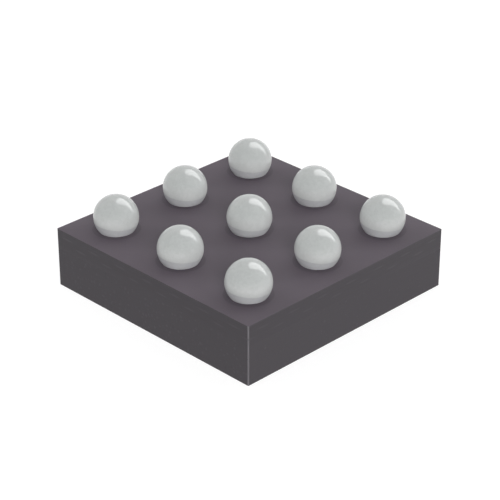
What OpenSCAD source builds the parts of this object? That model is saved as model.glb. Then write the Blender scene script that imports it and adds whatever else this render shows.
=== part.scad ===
// Nine-ball grid array package, lying on its mould face with its solder balls up.
// The laminate carries the balls on top and the wire-bonded die underneath,
// inside the mould cap. Origin: centre of the mould face. Z points out of the balls.

/* [Body] */
// Side of the square body, cut by the package saw
body_w = 2.9; // [2.7:0.05:3.5]
// Thickness of the mould cap
mould_t = 0.45; // [0.42:0.01:0.8]
// Diameter of the round mark that shows corner A1 on the mould face
mark_d = 0.3; // [0.2:0.05:0.4]
// Depth of the A1 mark
mark_depth = 0.02; // [0.01:0.005:0.04]
// Distance of the A1 mark's centre from both edges of its corner
mark_inset = 0.35; // [0.25:0.05:0.6]

/* [Laminate] */
// Thickness of the laminate core
core_t = 0.14; // [0.1:0.01:0.3]
// Thickness of the copper on each side of the core
copper_t = 0.02; // [0.012:0.001:0.03]
// Thickness of the solder mask over the copper
mask_t = 0.025; // [0.015:0.001:0.04]
// Width of the copper traces
trace_w = 0.06; // [0.04:0.005:0.075]
// Diameter of the drilled via holes
via_d = 0.1; // [0.08:0.01:0.12]
// Thickness of the copper plated on the wall of a via hole
via_plating = 0.02; // [0.01:0.002:0.03]
// Diameter of the copper land round a via, on both sides
via_land_d = 0.18; // [0.15:0.01:0.2]

/* [Ball grid] */
// Distance between ball centres, along the rows and along the columns
ball_spacing = 1; // [0.9:0.01:1.1]
// Diameter of a solder ball
ball_d = 0.49; // [0.46:0.01:0.6]
// Diameter of the copper land under a ball, whose rim the solder mask covers
land_d = 0.5; // [0.46:0.01:0.54]
// Diameter of the opening in the mask over a land, which the foot of the ball fills
opening_d = 0.4; // [0.34:0.01:0.42]

/* [Die] */
// Side of the square die
die_w = 1.1; // [0.95:0.05:1.2]
// Thickness of the die
die_t = 0.2; // [0.12:0.01:0.22]
// Side of a square bond pad on the die
bond_pad_w = 0.08; // [0.065:0.005:0.1]
// Thickness of the bond pad metal
bond_pad_t = 0.003; // [0.002:0.001:0.006]
// Distance of the bond pads' centres from the edge of the die
bond_pad_inset = 0.07; // [0.06:0.005:0.1]
// Distance between bond pads along an edge of the die
bond_pad_spacing = 0.24; // [0.15:0.01:0.3]
// Thickness of the die attach paste under the die
attach_t = 0.02; // [0.01:0.005:0.03]
// Width of the fillet that the paste forms round the die
attach_fillet_w = 0.05; // [0.03:0.01:0.08]
// Height that the fillet climbs up the sides of the die
attach_fillet_h = 0.07; // [0.03:0.01:0.1]

/* [Bond fingers] */
// Distance between the edge of the die and the bond fingers
finger_gap = 0.22; // [0.18:0.01:0.26]
// Length of a bond finger
finger_l = 0.16; // [0.14:0.01:0.2]
// Width of a bond finger
finger_w = 0.09; // [0.085:0.005:0.12]
// Distance between bond fingers along one side
finger_spacing = 0.3; // [0.24:0.01:0.32]
// Clear border of the mask window round a bond finger
window_border = 0.03; // [0.02:0.005:0.04]

/* [Bond wires] */
// Diameter of the bond wire
wire_d = 0.025; // [0.018:0.001:0.03]
// Height of the wire's centre line above the die at the top of its loop
loop_h = 0.1; // [0.08:0.005:0.12]
// Radius of the wire's centre line in both of its bends
bend_r = 0.05; // [0.03:0.005:0.06]
// Diameter of the ball that starts a wire
bond_ball_d = 0.06; // [0.045:0.005:0.065]
// Height of that ball after it is pressed onto its pad
bond_ball_h = 0.014; // [0.01:0.001:0.02]
// Height of the cone above that ball
bond_neck_h = 0.012; // [0.008:0.001:0.02]
// Distance of the stitch from the inner end of its bond finger
stitch_inset = 0.05; // [0.04:0.005:0.07]
// Length of the wedge that the stitch presses into the end of the wire
stitch_l = 0.05; // [0.03:0.005:0.06]
// Width of that wedge
stitch_w = 0.04; // [0.032:0.002:0.06]
// Thickness of the wedge at its tail
stitch_tail = 0.004; // [0.002:0.001:0.008]

/* [Hidden] */
$fn = 48;

// Colours
mould_colour = "#534f54";
mask_colour = "#5e585f";
core_colour = "#4b484d";
copper_colour = "#c07a4a";
solder_colour = "#b6b9b8";
gold_colour = "#d9ac4c";
silicon_colour = "#6d7078";
paste_colour = "#cfcfca";

// Levels, from the mould face up
inner_copper_z = mould_t + mask_t;
core_z = inner_copper_z + copper_t;
core_top_z = core_z + core_t;
land_z = core_top_z + copper_t;
face_z = land_z + mask_t;
die_back_z = mould_t - attach_t;
die_face_z = die_back_z - die_t;
bond_pad_z = die_face_z - bond_pad_t;

// How far a cutter passes a face that it cuts through, and a joined piece enters its neighbour
past = 0.01;

// A net runs bond wire, bond finger, trace, via, trace, land and ball.
// Its side says which side of the die its bond finger is on, and its slot where on that side:
// the corner slot feeds a corner ball, the middle slot a ball at mid-side,
// and the spare slot, which only the east side uses, the ball in the centre.
NETS = [
    for (side = ["east", "north", "west", "south"]) for (slot = ["corner", "middle"]) [side, slot],
    ["east", "spare"]
];
function turn(side) = side == "north" ? 90 : side == "west" ? 180 : side == "south" ? 270 : 0;
function steps(slot) = slot == "corner" ? 1 : slot == "spare" ? -1 : 0;

// Places of one net's features, for the east side
finger_x = die_w / 2 + finger_gap;
function ball_at(slot) = slot == "spare" ? [0, 0] : [ball_spacing, steps(slot) * ball_spacing];
// A via lies midway between two balls, or among four for the ball in the centre.
function via_at(slot) = [slot == "corner" ? ball_spacing : ball_spacing / 2, steps(slot) * ball_spacing / 2];
function bond_pad_at(slot) = [die_w / 2 - bond_pad_inset, steps(slot) * bond_pad_spacing];
function stitch_at(slot) = [finger_x + stitch_inset, steps(slot) * finger_spacing];
// The trace leaves the finger at the end nearer to the via.
function trace_start(slot) = [
    min(max(via_at(slot)[0], finger_x + finger_w / 2), finger_x + finger_l - finger_w / 2),
    steps(slot) * finger_spacing
];

module on_side(side) rotate([0, 0, turn(side)]) children();

module each_net() for (net = NETS) on_side(net[0]) { $slot = net[1]; children(); }

module plate(z, t) translate([-body_w / 2, -body_w / 2, z]) cube([body_w, body_w, t]);

module layer(z, top) translate([0, 0, z]) linear_extrude(top - z) children();

// A post at a net's via, from one level to another
module via_post(slot, d, z, top) translate([0, 0, z]) translate(via_at(slot)) cylinder(d = d, h = top - z);

// The die without its bond pads
module die_block() translate([-die_w / 2, -die_w / 2, die_face_z]) cube([die_w, die_w, die_t]);

// A straight trace between two points, square at both ends
module trace(a, b) {
    run = b - a;
    translate(a) rotate(atan2(run[1], run[0])) translate([0, -trace_w / 2]) square([norm(run), trace_w]);
}

module inner_copper_outline(slot) {
    translate([finger_x, steps(slot) * finger_spacing - finger_w / 2]) square([finger_l, finger_w]);
    trace(trace_start(slot), via_at(slot));
    translate(via_at(slot)) circle(d = via_land_d);
}

module ball_side_copper_outline(slot) {
    translate(via_at(slot)) circle(d = via_land_d);
    trace(via_at(slot), ball_at(slot));
    translate(ball_at(slot)) circle(d = land_d);
}

module window_outline(slot) {
    window_w = finger_w + 2 * window_border;
    translate([finger_x - window_border, steps(slot) * finger_spacing - window_w / 2])
        square([finger_l + 2 * window_border, window_w]);
}

// One net's copper: the bond finger and traces of both sides, joined by the plated wall of the via
module conductor(side, slot) color(copper_colour) on_side(side) difference() {
    union() {
        layer(inner_copper_z, core_z) inner_copper_outline(slot);
        layer(core_top_z, land_z) ball_side_copper_outline(slot);
        via_post(slot, via_d, inner_copper_z, land_z);
    }
    via_post(slot, via_d - 2 * via_plating, inner_copper_z - past, land_z + past);
}

module laminate_core() color(core_colour) difference() {
    plate(core_z, core_t);
    each_net() via_post($slot, via_d, core_z - past, core_top_z + past);
}

// The mask on the die's side, moulded over the copper and open at the bond fingers
module inner_solder_mask() color(mask_colour) difference() {
    plate(mould_t, core_z - mould_t);
    each_net() layer(mould_t - past, core_z + past) window_outline($slot);
    each_net() layer(inner_copper_z, core_z + past) inner_copper_outline($slot);
}

// The mask on the ball side, over the rims of the lands and open at their middles, with a plug down each via
module ball_side_solder_mask() color(mask_colour) {
    difference() {
        plate(core_top_z, face_z - core_top_z);
        each_net() layer(core_top_z - past, land_z) ball_side_copper_outline($slot);
        each_net() layer(land_z - past, face_z + past) translate(ball_at($slot)) circle(d = opening_d);
    }
    each_net() via_post($slot, via_d - 2 * via_plating, inner_copper_z, land_z + past);
}

module die() color(silicon_colour) {
    die_block();
    each_net() translate([0, 0, bond_pad_z]) translate(bond_pad_at($slot) - [bond_pad_w, bond_pad_w] / 2)
        cube([bond_pad_w, bond_pad_w, bond_pad_t + past]);
}

// The paste and its fillet as one frustum, wide at the mask and narrow where it ends on the die
module attach_profile() {
    foot = die_w / 2 + attach_fillet_w;
    tip_z = die_back_z - attach_fillet_h;
    rotate([90, 0, 0]) linear_extrude(2 * foot + 2 * past, center = true)
        polygon([[-foot, mould_t], [-die_w / 2, tip_z], [die_w / 2, tip_z], [foot, mould_t]]);
}

module attach_frustum() intersection() {
    attach_profile();
    rotate([0, 0, 90]) attach_profile();
}

module die_attach() color(paste_colour) difference() {
    attach_frustum();
    die_block();
}

// A bond wire in its own plane: X runs from the ball bond to the stitch, Z away from the die.
// The wire rises, bends over, runs down on the common tangent of its two bends and flattens into the stitch.
// Its straights are a hair thinner than its bends and enter them a little, so that they join as one solid.
module wire_loop(span, drop) {
    stitch_r = wire_d / 2 + stitch_tail;
    top_bend = [bend_r, loop_h - bend_r];
    foot_bend = [span, stitch_r + bend_r - drop];
    run = foot_bend - top_bend;
    slope = atan2(-run[1], run[0]) + asin(2 * bend_r / norm(run));
    tangent_l = sqrt(run * run - 4 * bend_r * bend_r);
    straight_d = 0.99 * wire_d;
    lap = wire_d / 20;

    intersection() {
        translate([0, 0, bond_ball_h / 2]) sphere(d = bond_ball_d);
        cylinder(d = 2 * bond_ball_d, h = bond_ball_h);
    }
    translate([0, 0, bond_ball_h - stitch_tail])
        cylinder(d1 = bond_ball_d * 0.8, d2 = wire_d * 1.1, h = bond_neck_h + stitch_tail);
    cylinder(d = straight_d, h = loop_h - bend_r + lap);
    bend(top_bend, 90 - slope, 90 + slope);
    translate([top_bend[0] + bend_r * sin(slope), 0, top_bend[1] + bend_r * cos(slope)])
        rotate([0, 90 + slope, 0]) translate([0, 0, -lap]) cylinder(d = straight_d, h = tangent_l + 2 * lap);
    bend(foot_bend, 270 - slope, slope);
    translate([span, 0, -drop]) stitch();
}

// A bend of the wire round a centre, from an angle above X through a sweep
module bend(centre, start, sweep) translate([centre[0], 0, centre[1]]) rotate([90, 0, 0])
    rotate([0, 0, start]) rotate_extrude(angle = sweep) translate([bend_r, 0]) circle(d = wire_d);

// The flattened end of the wire, with its tail thinning out along the finger
module stitch() rotate([90, 0, 0]) linear_extrude(stitch_w, center = true)
    polygon([[-wire_d / 2, 0], [stitch_l, 0], [stitch_l, stitch_tail], [0, wire_d], [-wire_d / 2, wire_d]]);

module bond_wire(side, slot) color(gold_colour) {
    run = stitch_at(slot) - bond_pad_at(slot);
    on_side(side) translate([0, 0, bond_pad_z]) translate(bond_pad_at(slot))
        rotate([180, 0, atan2(run[1], run[0])]) wire_loop(norm(run), inner_copper_z - bond_pad_z);
}

// A reflowed ball: a sphere as wide as its opening at the mask's face, on a foot that fills the opening
module solder_ball(side, slot) color(solder_colour) {
    seat_h = mask_t + sqrt(ball_d * ball_d - opening_d * opening_d) / 2;
    on_side(side) translate([0, 0, land_z]) translate(ball_at(slot)) {
        intersection() {
            translate([0, 0, seat_h]) sphere(d = ball_d);
            cylinder(d = 2 * ball_d, h = 2 * ball_d);
        }
        cylinder(d = opening_d, h = mask_t + past);
    }
}

// The moulding, cast round the die and its wires and into the mask windows
module mould_cap() color(mould_colour) difference() {
    union() {
        plate(0, mould_t);
        each_net() layer(mould_t - past, core_z) window_outline($slot);
    }
    each_net() layer(inner_copper_z, core_z + past) inner_copper_outline($slot);
    attach_frustum();
    die();
    for (net = NETS) bond_wire(net[0], net[1]);
    translate([body_w / 2 - mark_inset, body_w / 2 - mark_inset, -past])
        cylinder(d = mark_d, h = mark_depth + past);
}

mould_cap();
die();
die_attach();
inner_solder_mask();
laminate_core();
ball_side_solder_mask();
conductor("east", "corner");  // conductor_a1
conductor("north", "middle");  // conductor_a2
conductor("north", "corner");  // conductor_a3
conductor("east", "middle");  // conductor_b1
conductor("east", "spare");  // conductor_b2
conductor("west", "middle");  // conductor_b3
conductor("south", "corner");  // conductor_c1
conductor("south", "middle");  // conductor_c2
conductor("west", "corner");  // conductor_c3
bond_wire("east", "corner");  // bond_wire_a1
bond_wire("north", "middle");  // bond_wire_a2
bond_wire("north", "corner");  // bond_wire_a3
bond_wire("east", "middle");  // bond_wire_b1
bond_wire("east", "spare");  // bond_wire_b2
bond_wire("west", "middle");  // bond_wire_b3
bond_wire("south", "corner");  // bond_wire_c1
bond_wire("south", "middle");  // bond_wire_c2
bond_wire("west", "corner");  // bond_wire_c3
solder_ball("east", "corner");  // solder_ball_a1
solder_ball("north", "middle");  // solder_ball_a2
solder_ball("north", "corner");  // solder_ball_a3
solder_ball("east", "middle");  // solder_ball_b1
solder_ball("east", "spare");  // solder_ball_b2
solder_ball("west", "middle");  // solder_ball_b3
solder_ball("south", "corner");  // solder_ball_c1
solder_ball("south", "middle");  // solder_ball_c2
solder_ball("west", "corner");  // solder_ball_c3
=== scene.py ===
from math import acos, cos, pi, radians, sin, sqrt

import bmesh
import bpy
import numpy as np
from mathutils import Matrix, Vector


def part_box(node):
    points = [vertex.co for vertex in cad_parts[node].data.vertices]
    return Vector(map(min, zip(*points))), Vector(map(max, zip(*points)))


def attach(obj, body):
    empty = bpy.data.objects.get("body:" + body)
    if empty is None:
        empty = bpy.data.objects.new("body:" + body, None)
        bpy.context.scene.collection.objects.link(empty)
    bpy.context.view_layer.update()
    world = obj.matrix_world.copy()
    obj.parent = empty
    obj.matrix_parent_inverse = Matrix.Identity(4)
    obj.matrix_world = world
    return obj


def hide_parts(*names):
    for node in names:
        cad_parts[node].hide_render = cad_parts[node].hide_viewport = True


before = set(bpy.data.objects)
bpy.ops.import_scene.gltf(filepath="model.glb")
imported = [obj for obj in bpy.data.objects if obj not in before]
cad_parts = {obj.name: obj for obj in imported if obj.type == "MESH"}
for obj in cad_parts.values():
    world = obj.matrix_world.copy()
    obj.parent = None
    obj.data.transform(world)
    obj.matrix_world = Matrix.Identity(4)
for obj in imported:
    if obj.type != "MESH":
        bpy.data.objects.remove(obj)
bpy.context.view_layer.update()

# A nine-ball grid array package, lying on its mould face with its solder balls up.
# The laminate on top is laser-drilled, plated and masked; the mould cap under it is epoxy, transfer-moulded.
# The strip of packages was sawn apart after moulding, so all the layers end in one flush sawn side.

MM = 0.001

# Sizes that the CAD model has too, in millimetres
BALL_D = 0.49
OPENING_D = 0.4
BALL_SPACING = 1.0
MARK_DEPTH = 0.02
BOND_PAD_T = 0.003

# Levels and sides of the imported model, in millimetres
BODY_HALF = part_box("mould_cap")[1].x / MM
CORE_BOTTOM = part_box("laminate_core")[0].z / MM
CORE_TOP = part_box("laminate_core")[1].z / MM
LAND_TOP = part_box("conductor_b2")[1].z / MM
MASK_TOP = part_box("ball_side_solder_mask")[1].z / MM
DIE_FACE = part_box("die")[0].z / MM
BALL_R = BALL_D / 2
BALL_CENTRE = MASK_TOP + sqrt(BALL_R ** 2 - (OPENING_D / 2) ** 2)

GRID = {row + column: (x, y) for row, y in (("a", 1), ("b", 0), ("c", -1))
        for column, x in (("1", 1), ("2", 0), ("3", -1))}

# Widths of the eased edges, in millimetres
CORNER_EASE = 0.010
FACE_EASE = 0.008
FILM_EASE = 0.005


# ---------------------------------------------------------------- materials

def linear(colour):
    """An sRGB hex colour as the linear colour that a socket takes."""
    parts = [int(colour[i:i + 2], 16) / 255 for i in (1, 3, 5)]
    return [c / 12.92 if c <= 0.04045 else ((c + 0.055) / 1.055) ** 2.4 for c in parts] + [1]


def add(tree, kind, inputs=(), out=0, **settings):
    """Adds a node with its settings and links, and gives back one of its outputs, or all of them for
    out=None. Inputs go in order or by name, and each is a value, an sRGB hex colour or another node's
    output."""
    node = tree.nodes.new("ShaderNode" + kind)
    for name, value in settings.items():
        setattr(node, name, value)
    for socket, value in inputs.items() if isinstance(inputs, dict) else enumerate(inputs):
        if isinstance(value, bpy.types.NodeSocket):
            tree.links.new(value, node.inputs[socket])
        else:
            node.inputs[socket].default_value = linear(value) if isinstance(value, str) else value
    return node.outputs if out is None else node.outputs[out]


def start(name):
    """A material's empty tree, and the place on the object in millimetres as a vector and as x, y and z."""
    material = bpy.data.materials.new(name)
    material.use_nodes = True
    tree = material.node_tree
    tree.nodes.clear()
    metres = add(tree, "TexCoord", out="Object")
    place = add(tree, "VectorMath", {0: metres, "Scale": 1 / MM}, operation="SCALE")
    return material, tree, place, *add(tree, "SeparateXYZ", (place,), out=None)


def finish_surface(tree, base, roughness, heights, **constants):
    """The shader with its chain of bumps, each a signal and its height in millimetres, and its constants."""
    sockets = {"Base Color": base, "Roughness": roughness}
    for signal, height in heights:
        under = {name: value for name, value in sockets.items() if name == "Normal"}
        sockets["Normal"] = add(tree, "Bump", {"Height": signal, "Distance": height * MM} | under)
    for name, value in constants.items():
        sockets[name.replace("_", " ").title().replace("Ior", "IOR")] = value
    add(tree, "OutputMaterial", (add(tree, "BsdfPrincipled", sockets),), out=None)


# Tones of the sawn sides: partly the sawn material's own dark tone, partly painted shade that keeps the sides
# darker than the top.
SHADED_SAWN_DARK, SHADED_SAWN_PALE = "#464346", "#4c494d"
# Painted highlight on the upright corners.
CORNER_PAINTED_HIGHLIGHT = "#6b686c"
SAW_PITCH = 0.012
SAW_DRAWN_OUT = 90


def sawn_side(tree, place, x, y):
    """How a side looks after the package saw: lines 12 um apart and drawn out to millimetres along the cut,
    in a dark tone that is partly the sawn material's own and partly painted shade of the sides, and a painted
    highlight that makes the upright corners paler. Gives 1 on a side and 0 on a flat face, the lines and the
    colour."""
    normal = add(tree, "NewGeometry", out="True Normal")
    facing = add(tree, "Math", (add(tree, "SeparateXYZ", (normal,), out="Z"),), operation="ABSOLUTE")
    side = add(tree, "MapRange", (facing, 0.5, 0.3, 0.0, 1.0))
    along = add(tree, "VectorMath", {0: place, 1: (1 / SAW_DRAWN_OUT, 1 / SAW_DRAWN_OUT, 1)},
                operation="MULTIPLY")
    lines = add(tree, "TexNoise", {"Vector": along, "Scale": 1 / SAW_PITCH, "Detail": 3.0, "Roughness": 0.6})
    # Painted shade, in part: the sides' dark tone.
    cut = add(tree, "Mix", {0: lines, 6: SHADED_SAWN_DARK, 7: SHADED_SAWN_PALE}, out=2, data_type="RGBA")
    reach = add(tree, "Math", (add(tree, "Math", (x,), operation="ABSOLUTE"),
                               add(tree, "Math", (y,), operation="ABSOLUTE")))
    corner = 2 * BODY_HALF - CORNER_EASE
    # Painted highlight: the upright corners made paler.
    corner_highlight = add(tree, "MapRange", (reach, corner - 0.004, corner, 0.0, 1.0))
    return side, lines, add(tree, "Mix", {0: corner_highlight, 6: cut, 7: CORNER_PAINTED_HIGHLIGHT}, out=2, data_type="RGBA")


def mould_compound():
    """Epoxy mould compound, transfer-moulded and sawn: a dark matt resin full of round silica filler of 8 to
    38 um. The saw cuts the filler open, which gives the sides faint specks and lines, and the mould face has
    the matt of its spark-eroded mould."""
    material, tree, place, x, y, z = start("epoxy_mould_compound_sawn")
    side, lines, cut = sawn_side(tree, place, x, y)

    cell = add(tree, "TexVoronoi", {"Vector": place, "Scale": 1 / 0.045}, out=None)
    size, tone, _ = add(tree, "SeparateXYZ", (cell["Color"],), out=None)
    edge = add(tree, "MapRange", (size, 0.0, 1.0, 0.09, 0.42))
    core = add(tree, "Math", (edge, 0.8), operation="MULTIPLY")
    grain = add(tree, "MapRange", (cell["Distance"], edge, core, 0.0, 0.8))
    silica = add(tree, "Mix", {0: tone, 6: "#454246", 7: "#504d51"}, out=2, data_type="RGBA")
    base = add(tree, "Mix", {0: grain, 6: cut, 7: silica}, out=2, data_type="RGBA")

    # The A1 mark's floor comes off a polished pin, so it is smoother than the face round it.
    pin = add(tree, "MapRange", (z, 0.2 * MARK_DEPTH, 0.6 * MARK_DEPTH, 0.0, 1.0))
    eroded = add(tree, "TexNoise", {"Vector": place, "Scale": 1 / 0.03, "Detail": 4.0, "Roughness": 0.65})
    face = add(tree, "Math", (add(tree, "Math", (1.0, side), operation="SUBTRACT"),
                              add(tree, "Math", (1.0, pin), operation="SUBTRACT")), operation="MULTIPLY")
    face_rough = add(tree, "MapRange", (pin, 0.0, 1.0, 0.7, 0.35))
    side_rough = add(tree, "MapRange", (lines, 0.3, 0.7, 0.56, 0.72))
    roughness = add(tree, "Mix", {0: side, 2: face_rough, 3: side_rough}, data_type="FLOAT")
    finish_surface(tree, base, roughness, [
        (add(tree, "Math", (lines, side), operation="MULTIPLY"), 0.0012),
        (add(tree, "Math", (grain, side), operation="MULTIPLY"), 0.0006),
        (add(tree, "Math", (eroded, face), operation="MULTIPLY"), 0.005),
    ], specular_ior_level=0.1, ior=1.55)
    return material


MASK_FILM = ("#544d54", "#59525a")
# Painted shadow: a darker film tone in a ring round each ball's foot.
FOOT_SHADOW_FILM = ("#4e484f", "#534c53")
FOOT_SHADOW_R = 1.06 * BALL_R
CLOTH_PITCH = 0.42


def from_ball(tree, x, y):
    """How far a place lies from the axis of the nearest ball of the grid, along X and along Y."""
    half = BALL_SPACING / 2
    return [add(tree, "Math", (axis, half, -half), operation="WRAP") for axis in (x, y)]


def solder_mask():
    """Epoxy solder mask, curtain-coated, exposed, developed and cured: a matt plum-grey film with a 25 um
    grain. It sinks a little with the glass cloth under it, and a painted shadow darkens it in a ring round
    each ball's foot, a little wider than the land under it."""
    material, tree, place, x, y, _ = start("epoxy_solder_mask_coated")
    side, lines, cut = sawn_side(tree, place, x, y)

    grain = add(tree, "TexNoise", {"Vector": place, "Scale": 1 / 0.025, "Detail": 3.0, "Roughness": 0.6})
    cloud = add(tree, "TexNoise", {"Vector": place, "Scale": 1 / 0.7, "Detail": 4.0, "Roughness": 0.6})
    mottle = add(tree, "MapRange", (add(tree, "Mix", {0: 0.35, 2: grain, 3: cloud}), 0.3, 0.7, 0.0, 1.0))
    yarns = [add(tree, "Math", (add(tree, "Math", (axis, 2 * pi / CLOTH_PITCH), operation="MULTIPLY"),),
                 operation="SINE") for axis in (x, y)]
    weave = add(tree, "Math", yarns, operation="MULTIPLY")

    offset = add(tree, "CombineXYZ", from_ball(tree, x, y))
    away = add(tree, "VectorMath", (offset,), out="Value", operation="LENGTH")
    # Painted shadow ring round each ball's foot.
    in_foot_shadow = add(tree, "MapRange", (away, FOOT_SHADOW_R + 0.004, FOOT_SHADOW_R - 0.004, 0.0, 1.0))
    film, foot_shadow_film = (add(tree, "Mix", {0: mottle, 6: dark, 7: pale}, out=2, data_type="RGBA")
                       for dark, pale in (MASK_FILM, FOOT_SHADOW_FILM))
    film = add(tree, "Mix", {0: in_foot_shadow, 6: film, 7: foot_shadow_film}, out=2, data_type="RGBA")
    base = add(tree, "Mix", {0: side, 6: film, 7: cut}, out=2, data_type="RGBA")
    roughness = add(tree, "MapRange", (grain, 0.3, 0.7, 0.55, 0.66))
    flat = add(tree, "Math", (1.0, side), operation="SUBTRACT")
    finish_surface(tree, base, roughness, [
        (add(tree, "Math", (weave, flat), operation="MULTIPLY"), 0.0012),
        (add(tree, "Math", (grain, flat), operation="MULTIPLY"), 0.0012),
        (add(tree, "Math", (lines, side), operation="MULTIPLY"), 0.0012),
    ], specular_ior_level=0.1, ior=1.5)
    return material


def laminate():
    """Glass cloth in a dark resin, pressed and sawn: on the cut, the ends of the yarns show as faint lens
    shapes 0.42 mm apart in two plies, and the saw leaves fine lines along the side."""
    material, tree, place, x, y, z = start("glass_cloth_laminate_sawn")
    side, lines, cut = sawn_side(tree, place, x, y)
    level = add(tree, "MapRange", (z, CORE_BOTTOM, CORE_TOP, 0.0, 2.0))
    in_ply = add(tree, "Math", (add(tree, "Math", (level,), operation="FRACT"), 0.5), operation="SUBTRACT")
    turned = add(tree, "Math", (add(tree, "Math", (level,), operation="FLOOR"), pi), operation="MULTIPLY")
    run = add(tree, "Math", (x, y))
    along = add(tree, "Math", (run, 2 * pi / CLOTH_PITCH, turned), operation="MULTIPLY_ADD")
    wave = add(tree, "Math", (add(tree, "Math", (along,), operation="COSINE"), 0.2), operation="MULTIPLY")
    lens = add(tree, "Math", (wave, add(tree, "Math", (in_ply,), operation="ABSOLUTE")), operation="SUBTRACT")
    bundle = add(tree, "MapRange", (lens, -0.02, 0.12, 0.0, 1.0))
    filaments = add(tree, "TexNoise", {"Vector": place, "Scale": 1 / 0.01, "Detail": 2.0})
    glass = add(tree, "Mix", {0: filaments, 6: "#474448", 7: "#555256"}, out=2, data_type="RGBA")
    share = add(tree, "Math", (bundle, 0.5), operation="MULTIPLY")
    base = add(tree, "Mix", {0: share, 6: cut, 7: glass}, out=2, data_type="RGBA")
    roughness = add(tree, "MapRange", (bundle, 0.0, 1.0, 0.66, 0.54))
    finish_surface(tree, base, roughness, [
        (lines, 0.0012),
        (add(tree, "Math", (filaments, bundle), operation="MULTIPLY"), 0.0006),
    ], specular_ior_level=0.1, ior=1.52)
    return material


# Painted shade darkens the crown and painted light brightens the waist, to even out the light on the ball.
SOLDER_CROWN_SHADE = ("#a6a9a8", "#aeb1b0")
SOLDER_WAIST_LIGHT = ("#bbbdbc", "#c3c5c4")
# Painted shade of the ball's underside, below a ragged, tilted edge.
SOLDER_UNDERSIDE_SHADE = ("#abacae", "#b2b3b5")
# Painted light that brightens the shade band again towards the foot.
SOLDER_FOOT_LIGHT = ("#c6c7c9", "#cecfd1")
SHADE_BAND_LEVEL = -0.19 * BALL_R
SHADE_BAND_LEAN = 0.055
SHADE_BAND_RAGGED = 0.006


def solder():
    """Tin-silver-copper solder, reflowed into a ball: a satin grey skin of 15 to 40 um tin grains under a
    clear flux film, whose thin gloss takes the softbox's crisp highlight. Painted shade makes the crown
    darker and painted light makes the waist paler, to even out the light on the ball. A painted shade band
    darkens the underside below a ragged edge, and painted light brightens it again towards the foot."""
    material, tree, place, x, y, z = start("tin_silver_copper_solder_reflowed")
    cells = add(tree, "TexVoronoi", {"Vector": place, "Scale": 1 / 0.035}, out="Color")
    facet = add(tree, "SeparateXYZ", (cells,))
    dendrite = add(tree, "TexNoise", {"Vector": place, "Scale": 1 / 0.02, "Detail": 4.0, "Roughness": 0.6})
    cloud = add(tree, "TexNoise", {"Vector": place, "Scale": 1 / 0.2, "Detail": 3.0})
    mottle = add(tree, "MapRange", (add(tree, "Mix", {0: 0.3, 2: dendrite, 3: facet}), 0.25, 0.75, 0.0, 1.0))

    # The painted shade band's edge is tilted, so that it dips towards the A1 corner as shade from a light at
    # the upper right would.
    towards_a1 = add(tree, "Math", from_ball(tree, x, y))
    shade_tilted_height = add(tree, "Math", (towards_a1, SHADE_BAND_LEAN, z), operation="MULTIPLY_ADD")
    ragged = add(tree, "Math", (cloud, SHADE_BAND_RAGGED, shade_tilted_height), operation="MULTIPLY_ADD")
    shade_band_edge = BALL_CENTRE + SHADE_BAND_LEVEL + SHADE_BAND_RAGGED / 2
    # Painted shade band on the ball's underside.
    below = add(tree, "MapRange", (ragged, shade_band_edge + 0.002, shade_band_edge - 0.002, 0.0, 1.0))

    crown, waist_light, underside_shade, foot = (add(tree, "Mix", {0: mottle, 6: dark, 7: pale}, out=2, data_type="RGBA")
                                for dark, pale in (SOLDER_CROWN_SHADE, SOLDER_WAIST_LIGHT, SOLDER_UNDERSIDE_SHADE, SOLDER_FOOT_LIGHT))
    # Painted shade on the crown and painted light on the waist.
    crown_shade_share = add(tree, "MapRange", (z, BALL_CENTRE + 0.6 * BALL_R, BALL_CENTRE - 0.15 * BALL_R, 0.0, 1.0),
                interpolation_type="SMOOTHSTEP")
    upper = add(tree, "Mix", {0: crown_shade_share, 6: crown, 7: waist_light}, out=2, data_type="RGBA")
    # Painted light towards the foot, against the shade low on the ball.
    foot_light_share = add(tree, "MapRange", (z, shade_band_edge, MASK_TOP, 0.0, 1.0))
    lower = add(tree, "Mix", {0: foot_light_share, 6: underside_shade, 7: foot}, out=2, data_type="RGBA")
    base = add(tree, "Mix", {0: below, 6: upper, 7: lower}, out=2, data_type="RGBA")
    roughness = add(tree, "MapRange", (facet, 0.0, 1.0, 0.72, 0.82))
    finish_surface(tree, base, roughness, [(dendrite, 0.0006)], metallic=0.05, specular_ior_level=0.1,
                   coat_weight=1.0, coat_roughness=0.02, coat_ior=1.5)
    return material


def copper():
    """Electrolytic copper, etched and left with a thin tarnish inhibitor: salmon to brown, and matt from the
    micro-etch."""
    material, tree, place, *_ = start("electrolytic_copper_etched")
    etch = add(tree, "TexNoise", {"Vector": place, "Scale": 1 / 0.012, "Detail": 4.0, "Roughness": 0.65})
    tarnish = add(tree, "TexNoise", {"Vector": place, "Scale": 1 / 0.15, "Detail": 3.0})
    shade = add(tree, "MapRange", (add(tree, "Mix", {0: 0.6, 2: etch, 3: tarnish}), 0.35, 0.65, 0.0, 1.0))
    base = add(tree, "Mix", {0: shade, 6: "#c98a66", 7: "#a5623f"}, out=2, data_type="RGBA")
    roughness = add(tree, "MapRange", (etch, 0.3, 0.7, 0.36, 0.5))
    finish_surface(tree, base, roughness, [(etch, 0.0012)], metallic=1.0)
    return material


def gold():
    """Gold bond wire, drawn through a die: bright, with hair lines along the wire's upright stretches."""
    material, tree, place, *_ = start("gold_wire_drawn")
    along = add(tree, "VectorMath", {0: place, 1: (1 / 12, 1 / 12, 1)}, operation="MULTIPLY")
    hairs = add(tree, "TexNoise", {"Vector": along, "Scale": 1 / 0.003, "Detail": 2.0})
    base = add(tree, "Mix", {0: hairs, 6: "#dcae52", 7: "#efc570"}, out=2, data_type="RGBA")
    roughness = add(tree, "MapRange", (hairs, 0.3, 0.7, 0.16, 0.28))
    finish_surface(tree, base, roughness, [(hairs, 0.0003)], metallic=1.0)
    return material


WHEEL_CENTRE = (3.0, 4.0, 0.0)
ARC_PITCH = 0.02


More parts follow.
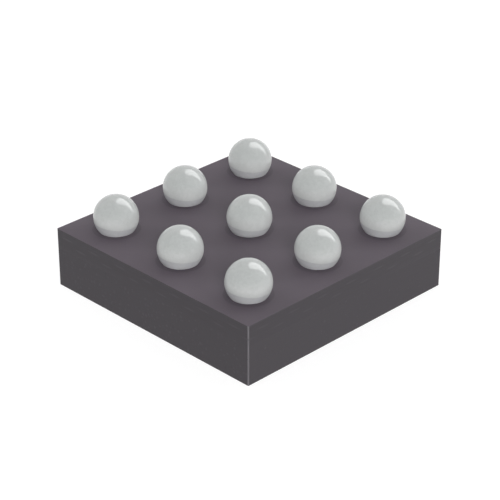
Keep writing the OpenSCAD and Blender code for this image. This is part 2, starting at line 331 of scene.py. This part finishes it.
def silicon():
    """Silicon die, back-ground and diced: blue-grey, with the grinding wheel's arcs 20 um apart, and
    aluminium bond pads on its face, each with a probe's scuffs."""
    material, tree, place, _, _, z = start("silicon_ground_and_diced")
    from_wheel = add(tree, "VectorMath", (place, WHEEL_CENTRE), out="Value", operation="DISTANCE")
    turns = add(tree, "Math", (from_wheel, 2 * pi / ARC_PITCH), operation="MULTIPLY")
    arcs = add(tree, "Math", (turns,), operation="SINE")
    crest = add(tree, "MapRange", (arcs, -1.0, 1.0, 0.0, 1.0))
    wafer = add(tree, "Mix", {0: crest, 6: "#6f7481", 7: "#797e8b"}, out=2, data_type="RGBA")
    scuffs = add(tree, "TexNoise", {"Vector": place, "Scale": 1 / 0.01, "Detail": 3.0})
    pads = add(tree, "Mix", {0: scuffs, 6: "#c4c5c8", 7: "#e0e1e3"}, out=2, data_type="RGBA")
    pad_top = DIE_FACE + BOND_PAD_T
    on_pad = add(tree, "MapRange", (z, pad_top + 0.0005, pad_top - 0.0005, 0.0, 1.0))
    base = add(tree, "Mix", {0: on_pad, 6: wafer, 7: pads}, out=2, data_type="RGBA")
    roughness = add(tree, "MapRange", (scuffs, 0.3, 0.7, 0.2, 0.32))
    finish_surface(tree, base, roughness, [(arcs, 0.0002)], metallic=0.85)
    return material


def silver_paste():
    """Silver-filled epoxy, dispensed and cured: flakes of 12 um that glint at random in a pale grey resin."""
    material, tree, place, *_ = start("silver_filled_epoxy_dispensed")
    flakes = add(tree, "TexVoronoi", {"Vector": place, "Scale": 1 / 0.012}, out=None)
    glint = add(tree, "SeparateXYZ", (flakes["Color"],))
    base = add(tree, "Mix", {0: glint, 6: "#a3a39e", 7: "#cfcfca"}, out=2, data_type="RGBA")
    roughness = add(tree, "MapRange", (glint, 0.0, 1.0, 0.3, 0.6))
    finish_surface(tree, base, roughness, [(flakes["Distance"], 0.002)], metallic=0.6)
    return material


FINISHES = {"mould_compound": mould_compound(), "solder_mask": solder_mask(), "laminate": laminate(),
            "solder": solder(), "copper": copper(), "gold": gold(), "silicon": silicon(),
            "die_attach_paste": silver_paste()}


# ------------------------------------------------------------------- pieces

def place_piece(name, skin, slot, *nodes):
    """Makes a piece of a bmesh skin in metres, in a slot's finish, standing for CAD nodes."""
    mesh = bpy.data.meshes.new(name)
    skin.to_mesh(mesh)
    skin.free()
    mesh.materials.append(FINISHES[slot])
    piece = bpy.data.objects.new(name, mesh)
    bpy.context.scene.collection.objects.link(piece)
    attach(piece, "root")
    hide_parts(*nodes)
    return piece


def reflowed_ball(name):
    """A ball as reflow leaves it: a sphere that bulges out of its opening in the mask, on a foot that fills
    the opening."""
    around, up = 96, 56
    x, y = (BALL_SPACING * c for c in GRID[name])
    rim = -acos(OPENING_D / BALL_D)
    profile = [(OPENING_D / 2, LAND_TOP)]
    profile += [(BALL_R * cos(a), BALL_CENTRE + BALL_R * sin(a)) for a in np.linspace(rim, pi / 2, up)[:-1]]
    skin = bmesh.new()
    rings = [[skin.verts.new(Vector((x + r * cos(t), y + r * sin(t), z)) * MM)
              for t in np.linspace(0, 2 * pi, around, endpoint=False)] for r, z in profile]
    crown = skin.verts.new(Vector((x, y, BALL_CENTRE + BALL_R)) * MM)
    for low, high in zip(rings, rings[1:]):
        for i in range(around):
            j = (i + 1) % around
            skin.faces.new((low[i], low[j], high[j], high[i]))
    for i in range(around):
        skin.faces.new((rings[-1][i], rings[-1][(i + 1) % around], crown))
    foot = skin.faces.new(rings[0][::-1])
    for face in skin.faces:
        face.smooth = face is not foot
    for ring in rings[:2]:
        for i in range(around):
            skin.edges.get((ring[i], ring[(i + 1) % around])).smooth = False
    place_piece("ball_" + name, skin, "solder", "solder_ball_" + name)


for name in GRID:
    reflowed_ball(name)


def is_corner(edge):
    """True for the upright edges at the body's four corners."""
    a, b = (v.co / MM for v in edge.verts)
    return abs(a.z - b.z) > 0.001 and all(min(abs(p.x), abs(p.y)) > BODY_HALF - 0.001 for p in (a, b))


def is_rim(edge, level):
    """True for the edges round the body at one level."""
    a, b = (v.co / MM for v in edge.verts)
    along_side = any(abs(a[i]) > BODY_HALF - 0.001 and abs(a[i] - b[i]) < 0.001 for i in (0, 1))
    return along_side and all(abs(p.z - level) < 0.001 for p in (a, b))


def eased_layer(name, node, slot, *eased):
    """A layer of the package with the CAD node's own shape, welded into one skin, and its outer edges eased.
    Each of eased is (test of an edge, width in millimetres)."""
    skin = bmesh.new()
    skin.from_mesh(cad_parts[node].data)
    bmesh.ops.remove_doubles(skin, verts=skin.verts, dist=0.0002 * MM)
    bmesh.ops.dissolve_limit(skin, angle_limit=radians(0.5), verts=skin.verts, edges=skin.edges)
    for test, width in eased:
        outer = [edge for edge in skin.edges if test(edge)]
        bmesh.ops.bevel(skin, geom=outer, offset=width * MM, segments=3, profile=0.5, affect="EDGES",
                        clamp_overlap=True)
    bmesh.ops.triangulate(skin, faces=[f for f in skin.faces if len(f.verts) > 4])
    bmesh.ops.recalc_face_normals(skin, faces=skin.faces)
    for face in skin.faces:
        face.smooth = True
    for edge in skin.edges:
        edge.smooth = edge.is_manifold and edge.calc_face_angle(0) < radians(35)
    piece = place_piece(name, skin, slot, node)
    piece.modifiers.new("flat faces stay flat", "WEIGHTED_NORMAL").keep_sharp = True
    return piece


eased_layer("mould_cap_sawn", "mould_cap", "mould_compound",
            (is_corner, CORNER_EASE), (lambda edge: is_rim(edge, 0), FACE_EASE))
eased_layer("inner_mask_sawn", "inner_solder_mask", "solder_mask", (is_corner, CORNER_EASE))
eased_layer("laminate_core_sawn", "laminate_core", "laminate", (is_corner, CORNER_EASE))
eased_layer("ball_side_mask_sawn", "ball_side_solder_mask", "solder_mask",
            (is_corner, CORNER_EASE), (lambda edge: is_rim(edge, MASK_TOP), FILM_EASE))

inside = [("die", "silicon"), ("die_attach", "die_attach_paste")]
for name in GRID:
    inside += [("conductor_" + name, "copper"), ("bond_wire_" + name, "gold")]
for node, slot in inside:
    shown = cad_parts[node]
    shown.data.materials.clear()
    shown.data.materials.append(FINISHES[slot])


# ---------------------------------------------------------- camera and lights

AZIMUTH, ELEVATION = radians(45.27), radians(28.25)
DISTANCE = 20.0
toward_camera = Vector((sin(AZIMUTH) * cos(ELEVATION), -cos(AZIMUTH) * cos(ELEVATION), sin(ELEVATION)))
camera_right = Vector((cos(AZIMUTH), sin(AZIMUTH), 0))
camera_up = toward_camera.cross(camera_right)

camera = bpy.data.objects.new("camera", bpy.data.cameras.new("camera"))
bpy.context.scene.collection.objects.link(camera)
bpy.context.scene.camera = camera
camera.data.sensor_width = 36
camera.data.lens = 134.6
camera.data.clip_start, camera.data.clip_end = MM, 1.0
aim = Vector((0, 0, 0.5)) + camera_right * 0.0066 - camera_up * 0.0677
camera.location = (aim + toward_camera * DISTANCE) * MM
camera.rotation_mode = "QUATERNION"
camera.rotation_quaternion = (-toward_camera).to_track_quat("-Z", "Y")


def toward(turn, height):
    """A direction from the object: turned round from the camera's side to its right, and raised, in
    degrees."""
    t, h = AZIMUTH + radians(turn), radians(height)
    return Vector((sin(t) * cos(h), -cos(t) * cos(h), sin(h)))


def reflected(x, y):
    """Where the camera's line goes after a ball's skin mirrors it, at a spot x right and y up, in ball
    radii."""
    z = sqrt(1 - x * x - y * y)
    mirrored = Vector((2 * z * x, 2 * z * y, 2 * z * z - 1))
    return camera_right * mirrored.x + camera_up * mirrored.y + toward_camera * mirrored.z


def comma_softbox(strength, distance=80.0, steps=40):
    """A lit comma behind and to the right of the object, which the balls mirror near their upper right limb.
    It is drawn in angles round the ball and in ball radii: a round head at the top, and a tail that thins
    out."""
    head, tip = 91, 13
    spine_at_head, spine_at_tip = 0.66, 0.765
    head_length, half_width = 0.17, 0.135
    lit = bmesh.new()
    edges = []
    for i in range(steps + 1):
        share = (i / steps) ** 1.3
        angle = radians(head + (tip - head) * share)
        spine = spine_at_head + (spine_at_tip - spine_at_head) * share
        rounded = sqrt(1 - (1 - min(1, share / head_length)) ** 2)
        half = half_width * rounded * min(1, 1.35 * (1 - share))
        rays = [reflected(r * cos(angle), r * sin(angle)) for r in (spine - half, spine + half)]
        edges.append([lit.verts.new(ray * distance * MM) for ray in rays])
    for (a, b), (c, d) in zip(edges, edges[1:]):
        lit.faces.new((a, b, d, c))
    mesh = bpy.data.meshes.new("comma_softbox")
    lit.to_mesh(mesh)
    lit.free()
    material = bpy.data.materials.new("softbox_cloth")
    material.use_nodes = True
    tree = material.node_tree
    tree.nodes.clear()
    glow = add(tree, "Emission", {"Color": "#ffffff", "Strength": strength})
    add(tree, "OutputMaterial", (glow,), out=None)
    mesh.materials.append(material)
    box = bpy.data.objects.new("comma_softbox", mesh)
    bpy.context.scene.collection.objects.link(box)
    box.visible_camera = box.visible_diffuse = box.visible_shadow = False


def studio_world(even, fill, fill_direction, fill_power, walls):
    """A white studio. Even light comes from all round and a soft fill from one direction, which narrows as
    its power rises. Lit walls stand behind and beside the object, so that the balls' tops and flanks are as
    bright as their fronts. Directly and in gloss it is plain white."""
    world = bpy.data.worlds.new("studio")
    bpy.context.scene.world = world
    world.use_nodes = True
    tree = world.node_tree
    tree.nodes.clear()
    direction = add(tree, "TexCoord", out="Generated")
    turned = add(tree, "VectorMath", (direction, fill_direction), out="Value", operation="DOT_PRODUCT")
    narrowed = add(tree, "Math", (add(tree, "Math", (turned, 0.0), operation="MAXIMUM"), fill_power),
                   operation="POWER")
    x, y, z = add(tree, "SeparateXYZ", (direction,), out=None)
    level = add(tree, "VectorMath", (add(tree, "CombineXYZ", (x, y)),), operation="NORMALIZE")
    ahead = add(tree, "VectorMath", (level, toward(0, 0)), out="Value", operation="DOT_PRODUCT")
    # The walls' lower, upper, front and rear edges: where each is dark and where it is fully lit
    wall = walls
    for signal, dark, lit in ((z, 0.2, 0.37), (z, 0.6, 0.43), (ahead, 0.05, -0.5), (ahead, -1.2, -0.56)):
        edge = add(tree, "MapRange", (signal, dark, lit, 0.0, 1.0), interpolation_type="SMOOTHSTEP")
        wall = add(tree, "Math", (edge, wall), operation="MULTIPLY")
    light = add(tree, "Math", (narrowed, fill, add(tree, "Math", (wall, even))), operation="MULTIPLY_ADD")
    path = add(tree, "LightPath", out=None)
    gloss = add(tree, "Math", (path["Is Glossy Ray"], path["Is Transmission Ray"]), operation="MAXIMUM")
    seen = add(tree, "Math", (path["Is Camera Ray"], gloss), operation="MAXIMUM")
    strength = add(tree, "Mix", {0: seen, 2: light, 3: 1.0})
    background = add(tree, "Background", {"Color": "#ffffff", "Strength": strength})
    add(tree, "OutputWorld", (background,), out=None)


def pale_floor():
    """A plain white table that keeps the object's soft shadow, and is clear from underneath."""
    plane = bmesh.new()
    bmesh.ops.create_grid(plane, x_segments=1, y_segments=1, size=300 * MM)
    mesh = bpy.data.meshes.new("floor")
    plane.to_mesh(mesh)
    plane.free()
    material = bpy.data.materials.new("table_white")
    material.use_nodes = True
    tree = material.node_tree
    tree.nodes.clear()
    shade = add(tree, "BsdfDiffuse", {"Color": (0.3, 0.3, 0.3, 1)})
    glow = add(tree, "Emission", {"Color": "#ffffff", "Strength": 0.78})
    table = add(tree, "AddShader", (shade, glow))
    below = add(tree, "NewGeometry", out="Backfacing")
    both = add(tree, "MixShader", (below, table, add(tree, "BsdfTransparent")))
    add(tree, "OutputMaterial", (both,), out=None)
    mesh.materials.append(material)
    floor = bpy.data.objects.new("floor", mesh)
    bpy.context.scene.collection.objects.link(floor)
    floor.location.z = -0.002 * MM
    floor.visible_diffuse = floor.visible_shadow = False


studio_world(even=0.36, fill=14.5, fill_direction=toward(10, 23), fill_power=35, walls=8)
comma_softbox(strength=5.6)
pale_floor()
bpy.context.scene.view_settings.view_transform = "Standard"
